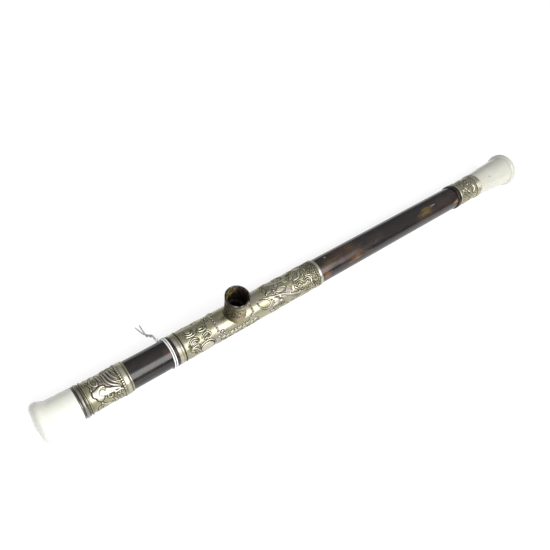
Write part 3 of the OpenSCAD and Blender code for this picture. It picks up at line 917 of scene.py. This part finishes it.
# Lines of the clouds left of the socket, as (x, angle) points.
CLOUDS = [
    [(-50.8, -41), (-48.4, -27), (-44.6, -20), (-41.4, -25), (-40.2, -34)],
    [(-49.6, -45), (-47.6, -33), (-44.6, -27.5), (-42.2, -32), (-41.4, -39)],
    [(-48.4, -43), (-46.4, -37), (-44.6, -34.5), (-43.2, -39)],
    [(-50.4, -49), (-46.6, -50.5), (-43.4, -49), (-41.4, -55), (-40.6, -60)],
    [(-50.2, -54), (-46.8, -57), (-44.2, -63), (-42.4, -71)],
    [(-37.4, -33), (-35.2, -24), (-32.2, -20.5), (-29.8, -25), (-29.2, -34), (-31.4, -41)],
    [(-35.6, -35), (-34.0, -29.5), (-32.2, -28), (-31.2, -33)],
    [(-36.0, -42), (-33.6, -40), (-32.4, -37)],
    [(-51.4, 2), (-48.6, -5), (-44.8, -8.5), (-41.0, -6), (-38.8, 2)],
    [(-50.2, 12), (-47.6, 3), (-44.8, -0.5), (-42.4, 4), (-41.6, 15)],
    [(-48.6, 20), (-46.6, 12), (-44.8, 9), (-43.4, 13)],
    [(-39.0, 0), (-36.6, -7), (-33.8, -10), (-31.0, -6), (-29.6, 3)],
    [(-37.6, 9), (-36.0, 3), (-34.0, 1.5), (-32.4, 6)],
    [(-42.2, -74), (-40.6, -62), (-37.4, -55), (-34.0, -52.5), (-30.2, -56), (-27.6, -66),
     (-26.6, -80)],
    [(-24.4, -62), (-22.2, -66), (-20.4, -73), (-19.8, -84)],
    [(-27.6, 34), (-29.6, 26), (-29.0, 14)], [(-24.6, 38), (-26.4, 28), (-26.0, 18)],
]


def saddle_motifs(work):
    """Clouds left of the socket and the branch right of it."""
    for points in CLOUDS:
        work.stroke(points, 0.62, 0.42, 0.3)
    work.mound([(-40.4, -72), (-38.2, -64), (-35.0, -60.5), (-31.4, -63), (-29.2, -70),
                (-28.4, -84), (-31.0, -98), (-38.0, -98), (-41.0, -86)], 0.3)
    work.scroll(-46.0, -88, 4.4, 100, -200, 2, 1.9)
    work.scroll(-45.8, 62, 5.8, 200, -220, 3, 1.9)
    work.scroll(-33.6, 58, 5.4, 10, 210, 3, 1.9)
    work.leaf(-48.4, -66, 5.0, 2.0, -40)
    work.leaf(-26.8, 46, 6.0, 2.2, 70)
    branch(work)


def saddle_relief():
    """The motifs, the plain panel's rings, and small scrolls where the panel ends."""
    work = new_relief("saddle_sleeve")
    work.both_sides(saddle_motifs)
    for x, angle in panel_places():
        work.ring(x, angle, BEAD_R + 0.3)
    # The two small rings at the panel's near corners, and work under it.
    for side in (-1, 1):
        work.curl(-18.6, side * 50, 1.1, 0, 320, width=0.42, height=0.3)
        for k in range(9):
            x, odd = -18 + 4.2 * k, k % 2
            work.scroll(x, side * (84 + 5 * odd), 2.6, 200, -220, 2, 1.2, 0.5)
        for k in range(7):
            x, odd = -20 + 6.2 * k, k % 2
            work.scroll(x, side * (108 + 9 * odd), 3.4, 20, 220, 3, 1.2)
            work.scroll(x + 3, side * (146 + 8 * odd), 3.4, 200, 220, 3, 1.2)
            work.leaf(x, 180, 5.0, 2.2, 90)
    for angle in range(-180, 180, 9):
        work.bead(88.6, angle, 0.5)
        work.bead(90.2, angle + 4.5, 0.42)
    work.punched(82, 88, 1.15, 0.42, 11)
    x0, x1, _ = extent("saddle_bead_wire")
    work.channel((x0 + x1) / 2 / MM - 0.75, 0.4)
    work.channel((x0 + x1) / 2 / MM + 0.7, 0.25, 0.1)
    work.channel(extent("saddle_rim")[0] / MM - 0.25, 0.3)
    return work


def far_ferrule_motifs(work):
    """Petals and knobs in a band."""
    for x, a, long, wide, way in ((306.8, -25, 7.0, 2.6, -52), (310.9, -20, 8.0, 2.4, -66),
                                  (317.4, -27, 5.0, 2.0, -6), (305.6, -52, 7.0, 2.6, -30),
                                  (312.0, -56, 7.4, 2.8, -40), (309.4, 8, 9.0, 3.6, 62),
                                  (316.6, 14, 7.0, 2.8, 40), (320.6, -2, 5.4, 2.2, 20),
                                  (318.4, -60, 7.0, 3.0, -30), (304.6, -84, 6.0, 2.4, 50),
                                  (314.8, -86, 7.4, 2.8, -60), (304.2, 30, 6.0, 2.4, 80),
                                  (311.6, 42, 7.6, 2.8, 10), (321.0, 34, 6.4, 2.4, 70),
                                  (304.4, 62, 6.0, 2.4, -40), (317.6, 62, 7.2, 2.6, -20)):
        work.leaf(x, a, long, wide, way, 0.4)
    work.stroke([(321.4, -15), (323.2, -28), (322.4, -44), (320.2, -54)], 0.85, 0.44)
    work.curl(314.8, -40, 2.3, 30, 300)
    work.curl(322.6, -78, 2.3, 90, -300)
    work.curl(308.4, -102, 2.6, 200, 280)
    work.bead(316.2, -3, 0.9)
    work.bead(325.0, -9, 0.7)
    work.bead(302.8, -38, 0.7)


def far_ferrule_relief():
    work = new_relief("far_ferrule", 0.3)
    work.both_sides(far_ferrule_motifs)
    return work


# ---- pieces of the stem ----

silver = silver_look("silver")
white_cap = white_look("white_cap", (0.79, 0.80, 0.73), (0.735, 0.735, 0.655), 42,
                       (-158.0, 14.0, 150))
# The mouthpiece is the same white stone as the cap, made darker as painted shade.
white_mouth_painted_shade = white_look("white_mouth_painted_shade", (0.57, 0.57, 0.505), (0.525, 0.525, 0.455), 60,
                         (350.7, 14.0, -23.4))
shell = shell_look("shell")
bamboo = bamboo_look("bamboo")
brass = brass_look("brass")
smoked = smoked_look("smoked")


def make_end_cap():
    """The closed white end: a shallow dome, a rounded lip and a waist."""
    x0, x1, lip_r = extent("end_cap")
    dowel_x0, _, dowel_r = extent("cap_dowel")
    lip_x, dome_r, neck_r = x0 + CAP_LIP, lip_r - 6 * MM, 13.8 * MM
    waist_x, waist_r, face = lip_x + 8.6 * MM, 14.2 * MM, 1.1 * MM
    dome = [(x0 + face * (1 - math.cos(math.pi * k / 12)) / 2, dome_r * k / 12)
            for k in range(12)]
    bow = [(lip_x + (waist_x - lip_x) * k / 16,
            waist_r + (lip_r - waist_r) * (1 + math.cos(math.pi * k / 16)) / 2)
           for k in range(1, 16)]
    outline = [*dome, *arc(lip_x, dome_r, CAP_LIP - face, 6 * MM, -90, 0, 20), *bow,
               *fine_line((waist_x, waist_r), (x1 - 0.3 * MM, neck_r)),
               (x1 - 0.08 * MM, neck_r - 0.05 * MM), (x1, neck_r - 0.3 * MM),
               (x1, dowel_r), (dowel_x0, dowel_r), (dowel_x0, 0)]
    turned("end_cap_stone", outline, white_cap, PIPE, ["end_cap"])


def make_mouthpiece():
    """The white mouthpiece: a cone, an abrupt rounded lip and the air hole."""
    x0, x1, lip_r = extent("mouthpiece")
    _, tenon_x1, tenon_r = extent("mouth_tenon")
    neck_r, cone_r, hole_r, sink = 13.0 * MM, 16.3 * MM, 2.5 * MM, 1.6 * MM
    lip_x, swell = x1 - MOUTH_LIP, 4.2 * MM
    rise = [(lip_x - swell * math.cos(math.radians(a)),
             cone_r + (lip_r - cone_r) * math.sin(math.radians(a))) for a in range(6, 90, 6)]
    outline = [(x0, tenon_r), (x0, neck_r - 0.3 * MM), (x0 + 0.08 * MM, neck_r - 0.05 * MM),
               *fine_line((x0 + 0.3 * MM, neck_r), (lip_x - swell, cone_r)), *rise,
               *arc(lip_x, lip_r - 5 * MM, swell, 5 * MM, 0, 90, 20),
               *fine_line((x1 - 0.5 * MM, lip_r - 6 * MM), (x1, hole_r + 2.4 * MM)),
               *arc(x1 - sink, hole_r + sink, sink, -sink, 60, 0, 6),
               *fine_line((x1 - sink, hole_r), (tenon_x1, hole_r), 4 * MM),
               (tenon_x1, tenon_r)]
    turned("mouthpiece_stone", outline, white_mouth_painted_shade, MOUTH, ["mouthpiece"])


def make_sheaths():
    """The two lengths of shell on the bamboo core, which meet inside the saddle."""
    x0, joint, near_r = extent("near_sheath")
    x1 = extent("far_sheath")[1]
    short_x0, short_x1 = extent("near_roll")[1], extent("saddle_ring")[0]
    saddle_x1, band_x0 = extent("saddle_sleeve")[1], extent("far_band")[0]
    far_r = FAR_R + 0.1 * MM
    outline = [(x0, CORE_R), *fine_line((x0, SHELL_R), (short_x0, SHELL_R), 4 * MM),
               *fine_line((short_x0, near_r), (short_x1, near_r)),
               *fine_line((short_x1, SHELL_R), (joint, SHELL_R), 4 * MM), (joint, SHELL_R),
               (joint, CORE_R)]
    drill(turned("near_sheath_shell", outline, shell, PIPE, ["near_sheath"]))
    outline = [(joint, CORE_R), *fine_line((joint, SHELL_R), (saddle_x1, SHELL_R), 4 * MM),
               *fine_line((saddle_x1, SHELL_R), (band_x0, far_r)),
               *fine_line((band_x0, FAR_R), (x1, FAR_R), 4 * MM), (x1, FAR_R),
               (x1, CORE_R)]
    turned("far_sheath_shell", outline, shell, PIPE, ["far_sheath"])


def drill(piece):
    """Cuts the hole that the socket's throat passes through."""
    low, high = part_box("throat_tube")
    radius = (high.x - low.x) / 2
    bpy.ops.mesh.primitive_cylinder_add(vertices=96, radius=radius, depth=30 * MM,
                                        location=(0, 0, AXIS_Z + 15 * MM))
    cutter = bpy.context.object
    cut = piece.modifiers.new("throat", "BOOLEAN")
    cut.operation, cut.solver, cut.object = "DIFFERENCE", "MANIFOLD", cutter
    bpy.context.view_layer.update()
    cut_mesh = bpy.data.meshes.new_from_object(
        piece.evaluated_get(bpy.context.evaluated_depsgraph_get()))
    piece.modifiers.clear()
    cut_mesh.set_sharp_from_angle(angle=SLEEVE_SHARP)
    piece.data = cut_mesh
    bpy.data.objects.remove(cutter)


def make_collar():
    """The dark collar of two rolls and a narrow one."""
    x0, x1, crest = extent("near_collar")
    first, second = x0 + 1.5 * MM, x0 + 4.3 * MM
    outline = [(x0, SHELL_R),
               *arc((x0 + first) / 2, crest - 1.2 * MM, (first - x0) / 2, 0.9 * MM, -90, 80, 16),
               *arc((first + second) / 2, crest - 0.9 * MM, (second - first) / 2, 0.9 * MM,
                    -80, 85, 24),
               *arc((second + x1) / 2, crest - 1.1 * MM, (x1 - second) / 2, 0.7 * MM,
                    -80, 90, 12), (x1, SHELL_R)]
    turned("near_collar_rolls", outline, dark_metal_look("collar_metal", crest - 0.6 * MM, crest),
           PIPE, ["near_collar"], wobble=0.05 * MM)


def make_stepped_roll(node, inner, foot, narrow, low, end, count):
    """A wide roll whose arc of count points stops at end degrees, and beside it one of the
    narrow width that rises by low."""
    x0, x1, crest = extent(node)
    step = x1 - narrow
    outline = [(x0, inner),
               *arc((x0 + step) / 2, foot, (step - x0) / 2, crest - foot, -90, end, count),
               *arc((step + x1) / 2, foot, (x1 - step) / 2, low, -80, 90, 14), (x1, inner)]
    turned(node + "_metal", outline, silver, PIPE, [node])


def make_half_rounds():
    """The rim and edge wires, the three end rings and the dark ring."""
    for node, foot in (("saddle_rim", SADDLE_R), ("far_ferrule_edge", extent("far_ferrule")[2])):
        x0, x1, crest = extent(node)
        turned(node + "_metal", roll_outline(x0, x1, foot - 0.1 * MM, foot, crest), silver, PIPE,
               [node])
    for node in ("far_ring_1", "far_ring_2", "far_ring_3"):
        x0, x1, crest = extent(node)
        turned(node + "_metal", roll_outline(x0, x1, 6 * MM, crest - 0.7 * MM, crest), silver,
               PIPE, [node])
    x0, x1, crest = extent("saddle_ring")
    outline = roll_outline(x0, x1, SHELL_R, crest - 0.8 * MM, crest)
    turned("saddle_ring_horn", outline, horn_look("ring_horn"), PIPE,
           ["saddle_ring"])


def make_far_band():
    """The dark band, flat with softened edges."""
    x0, x1, crest = extent("far_band")
    soft = 0.9 * MM
    outline = [(x0, FAR_R), *arc(x0 + soft, crest - soft, soft, soft, -90, 0, 8),
               *fine_line((x0 + soft, crest), (x1 - soft, crest)),
               *arc(x1 - soft, crest - soft, soft, soft, 0, 90, 8), (x1, FAR_R)]
    turned("far_band_horn", outline, horn_look("band_horn"), PIPE, ["far_band"])


def make_bead_wire(node, beads, wide=1.0):
    """A wire of beads round the stem: a torus whose tube swells at each bead. wide is how
    much longer a bead is along the stem than the wire is thick."""
    x0, x1, outer = extent(node)
    tube_r = (x1 - x0) / 2
    per_bead, sides = 10, 12
    turn = np.arange(beads * per_bead) * 2 * math.pi / (beads * per_bead)
    place = (turn * beads / (2 * math.pi)) % 1 * 2 - 1
    swell = np.sqrt(np.clip(1 - 0.97 * place ** 2, 0, 1))
    a = np.arange(sides) * 2 * math.pi / sides
    radius = outer - tube_r + tube_r * swell[:, None] * np.cos(a)[None, :]
    x = (x0 + x1) / 2 + wide * tube_r * swell[:, None] * np.sin(a)[None, :]
    points = around(x, radius, turn[:, None]).reshape(-1, 3)
    faces = grid_faces(len(turn), sides, wrap_rows=True)
    relief = np.repeat(swell - 0.62, sides)
    build(node + "_beads", points, faces, silver, PIPE, [node], 60, relief)


# The beads that frame the plain panel, by the same rule as in the CAD source.
BEAD_R = 0.72
BEAD_RISE = 0.08
BEAD_PITCH = 2.8
PANEL = [(-15.3, -66), (8.3, -66), (14.8, -40), (14.8, 54), (8.3, 80), (-15.3, 80),
         (-21.8, 54), (-21.8, -40)]


def panel_places():
    """Places of the beads along the panel's outline, as x and angle."""
    places = []
    for (ax, aa), (bx, ba) in zip(PANEL, PANEL[1:] + PANEL[:1]):
        count = round(math.hypot(bx - ax, math.radians(ba - aa) * SADDLE_R / MM) / BEAD_PITCH)
        places += [(ax + (bx - ax) * k / count, aa + (ba - aa) * k / count)
                   for k in range(count)]
    return places


def make_panel_beads():
    """Domes with a thin foot, set into the saddle."""
    sides, parts = 16, []
    profile = [(math.sin(math.radians(a)), math.cos(math.radians(a))) for a in range(0, 121, 12)]
    for x, angle in panel_places():
        turn = np.arange(sides) * 2 * math.pi / sides
        across = np.array([p[0] for p in profile])[:, None] * BEAD_R
        up = np.array([p[1] for p in profile])[:, None] * BEAD_R + BEAD_RISE
        along = x * MM + across * np.cos(turn) * MM
        side = math.radians(angle) + across * np.sin(turn) * MM / SADDLE_R
        points = around(along, SADDLE_R + up * np.ones_like(turn) * MM, side).reshape(-1, 3)
        faces = [tuple(f) for f in grid_faces(len(profile), sides)]
        faces.append(tuple((len(profile) - 1) * sides + k for k in range(sides)))
        parts.append((points, faces))
    points, faces = joined(parts)
    build("panel_beads", points, faces, silver, PIPE, ["cartouche_beads"], 80,
          np.full(len(points), 0.4))


# ---- socket ----

SOCKET_TURN = np.arange(300) * 2 * math.pi / 300
SOCKET_NECK = 9.2 * MM
SEAT_FLARE = 1.1 * MM


def socket_ring(radius, z):
    """Points of a ring about the socket's axis."""
    x, y = radius * np.cos(SOCKET_TURN), radius * np.sin(SOCKET_TURN)
    return np.stack([x, y, np.broadcast_to(z, y.shape)], axis=-1)


def socket_relief(rise):
    """Heights of the chased work on the socket's wall, at each rise above the saddle."""
    angle = np.linspace(-180, 180, len(SOCKET_TURN), endpoint=False)
    work = Relief(rise / MM, angle, SOCKET_NECK / MM)
    low = 3.4
    for k in range(12):
        a = -180 + 30 * k
        work.curl(low + 2.2, a, 1.9, 90, 290, width=0.42, height=0.34)
        work.leaf(low + 5.2, a + 15, 4.6, 2.2, 12, 0.34)
        work.stroke([(low + 3.8, a - 8), (low + 6.4, a - 3), (low + 8.6, a + 7),
                     (low + 10.6, a + 10)], 0.5, 0.32)
        work.leaf(low + 9.6, a - 4, 5.0, 2.0, -20, 0.34)
        work.bead(low + 8.0, a + 13, 0.5)
        work.curl(low + 12.0, a + 16, 1.5, 270, -290, width=0.4, height=0.3)
    for k in range(36):
        work.bead(rise[-1] / MM - 1.6, -180 + 10 * k, 0.5)
    return work.height() * np.clip((rise[-1] - rise) / (0.6 * MM), 0, 1)[:, None]


def make_socket():
    """The flared socket: a foot that follows the saddle, a chased wall and a smoked inside."""
    rim_low, rim_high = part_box("socket_rim")
    foot_low, foot_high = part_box("socket_foot")
    throat_low, throat_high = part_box("throat_tube")
    foot_r, throat_r = (foot_high.x - foot_low.x) / 2, (throat_high.x - throat_low.x) / 2
    seat = frame["record"]["mounts"][0]["dims"]
    seat_r, seat_depth = seat["r_mm"] * MM, seat["length_mm"] * MM
    top, mouth_r, saddle_top = rim_low.z, seat_r + SEAT_FLARE, AXIS_Z + SADDLE_R
    share = np.linspace(0, 1, 110)
    rise = share * (top - saddle_top)
    wall = np.interp(rise, [0, 4 * MM, 12 * MM, rise[-1]],
                     [SOCKET_NECK, SOCKET_NECK, SOCKET_NECK + 0.45 * MM, rim_high.x - 0.5 * MM])
    band = 0.35 * MM * np.clip((3.1 * MM - rise) / (0.4 * MM), 0, 1)
    fillet = np.clip(1 - rise / (3.4 * MM), 0, 1)
    profile = wall + band + (foot_r - SOCKET_NECK - 0.35 * MM) * fillet ** 3
    height = socket_relief(rise)
    radius, share = profile[:, None] + height * MM, share[:, None]
    saddle = AXIS_Z + np.sqrt(SADDLE_R ** 2 - (radius * np.sin(SOCKET_TURN)) ** 2) - 0.15 * MM
    outer = socket_ring(radius, saddle * (1 - share) + top * share)
    inner = [(mouth_r + (seat_r - mouth_r) * k / 6, top * (1 - k / 6)) for k in range(7)]
    inner += [(seat_r, -seat_depth * k / 16) for k in range(1, 17)]
    inner += [(throat_r, -seat_depth), (throat_r, saddle_top - 0.6 * MM)]
    stack = np.concatenate([outer, [socket_ring(r, z) for r, z in inner]])
    rows, columns = stack.shape[:2]
    mesh = bpy.data.meshes.new("socket_metal")
    mesh.from_pydata(stack.reshape(-1, 3).tolist(), [],
                     grid_faces(rows, columns, wrap_rows=True).tolist())
    mark_relief(mesh, np.concatenate([height, np.zeros((len(inner), columns))]))
    inside = np.repeat(np.arange(rows) >= len(outer), columns)
    mesh.polygons.foreach_set("material_index", inside.astype(np.int32))
    mesh.shade_smooth()
    mesh.set_sharp_from_angle(angle=math.radians(60))
    # The socket's silver, with the side away from the long stem darkened as painted shade.
    shaded_socket_silver = silver_look("socket_silver", (0.92, 0.82, 0.70), 0.85)
    place_piece("socket_metal", mesh, [shaded_socket_silver, smoked], PIPE,
                ["socket_body", "socket_foot"])


def make_socket_rim():
    """The thin dark rim, rolled over the wall's edge."""
    low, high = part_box("socket_rim")
    mouth_r = frame["record"]["mounts"][0]["dims"]["r_mm"] * MM + SEAT_FLARE
    half = (high.z - low.z) / 2
    rolled = [(high.x - half + half * math.cos(a), low.z + half + half * math.sin(a))
              for a in np.radians(np.linspace(-90, 90, 14))]
    section = [(mouth_r, low.z), *rolled, (mouth_r + 0.75 * MM, high.z),
               (mouth_r + 0.35 * MM, high.z - 0.45 * MM)]
    points = np.concatenate([socket_ring(r, z) for r, z in section])
    faces = grid_faces(len(section), len(SOCKET_TURN), wrap_rows=True)
    build("socket_rim_metal", points, faces, worn_black_look("rim_metal"), PIPE,
          ["socket_rim"], sharp=50)


def repaint_hidden():
    """Procedural finishes for the CAD nodes that keep their own shape."""
    for node, material in (("stem_core", bamboo), ("bore_plug", bamboo), ("cap_dowel", bamboo),
                           ("mouth_bush", bamboo), ("throat_tube", smoked), ("mouth_tenon", brass)):
        target = frame["nodes"][node]
        target.data.materials.clear()
        target.data.materials.append(material)


make_end_cap()
make_mouthpiece()
make_sheaths()
make_collar()
make_stepped_roll("near_roll", SHELL_R, extent("near_sheath")[2], 1.6 * MM, 0.7 * MM, 82, 24)
make_stepped_roll("saddle_roll", SADDLE_R, SADDLE_R, 1.7 * MM, 0.32 * MM, 84, 20)
make_half_rounds()
make_far_band()
make_bead_wire("near_bead_wire", 72)
make_bead_wire("near_inner_bead_wire", 40, 1.9)
make_bead_wire("saddle_bead_wire", 58)
sleeve("near_ferrule_chased", "near_ferrule", SHELL_R, near_ferrule_relief())
drill(sleeve("saddle_chased", "saddle_sleeve", SHELL_R, saddle_relief()))
sleeve("far_ferrule_chased", "far_ferrule", FAR_R, far_ferrule_relief())
make_panel_beads()
make_socket()
make_socket_rim()
repaint_hidden()


# ---- floor and light ----

def make_floor():
    """A pale table top that passes under the cap's lip and the mouthpiece's lip."""
    cap_x0, _, cap_r = extent("end_cap")
    _, mouth_x1, mouth_r = extent("mouthpiece")
    near_x, far_x, half = cap_x0 + CAP_LIP, mouth_x1 - MOUTH_LIP, 3.0
    slope = (cap_r - mouth_r) / (far_x - near_x)
    corners = [(x, y, AXIS_Z - cap_r + (x - near_x) * slope)
               for x, y in ((-half, -half), (half, -half), (half, half), (-half, half))]
    mesh = bpy.data.meshes.new("table_top")
    mesh.from_pydata(corners, [], [(0, 1, 2, 3)])
    look = Look("table_white", Roughness=0.8, Base_Color=(0.32, 0.32, 0.32, 1.0),
                Emission_Color=(1.0, 1.0, 1.0, 1.0), Emission_Strength=0.78)
    mesh.materials.append(look.material)
    table = bpy.data.objects.new("table_top", mesh)
    bpy.context.scene.collection.objects.link(table)


def softbox(name, place, target, width, height, power):
    """A large soft lamp that the camera doesn't see."""
    data = bpy.data.lights.new(name, "AREA")
    data.shape, data.size, data.size_y, data.energy = "RECTANGLE", width, height, power
    lamp = bpy.data.objects.new(name, data)
    lamp.location = place
    lamp.rotation_euler = (Vector(target) - Vector(place)).to_track_quat("-Z", "Y").to_euler()
    lamp.visible_camera = False
    bpy.context.scene.collection.objects.link(lamp)


def make_light():
    """A wide softbox in front, and a dim sky that darkens towards the horizon."""
    softbox("front_softbox", (0.10, -0.66, 0.60), (0.10, 0.0, AXIS_Z), 1.18, 0.66, 11.5)
    world = bpy.data.worlds.new("studio")
    world.use_nodes = True
    tree = world.node_tree
    place = tree.nodes.new("ShaderNodeTexCoord").outputs["Generated"]
    split = tree.nodes.new("ShaderNodeSeparateXYZ")
    fade = tree.nodes.new("ShaderNodeMapRange")
    fade.inputs["To Min"].default_value = 0.12
    fade.inputs["To Max"].default_value = 0.62
    sky = tree.nodes["Background"]
    sky.inputs["Color"].default_value = (0.98, 0.98, 1.0, 1.0)
    tree.links.new(place, split.inputs["Vector"])
    tree.links.new(split.outputs["Z"], fade.inputs["Value"])
    tree.links.new(fade.outputs["Result"], sky.inputs["Strength"])
    bpy.context.scene.world = world
    bpy.context.scene.view_settings.view_transform = "Standard"


make_floor()
make_light()
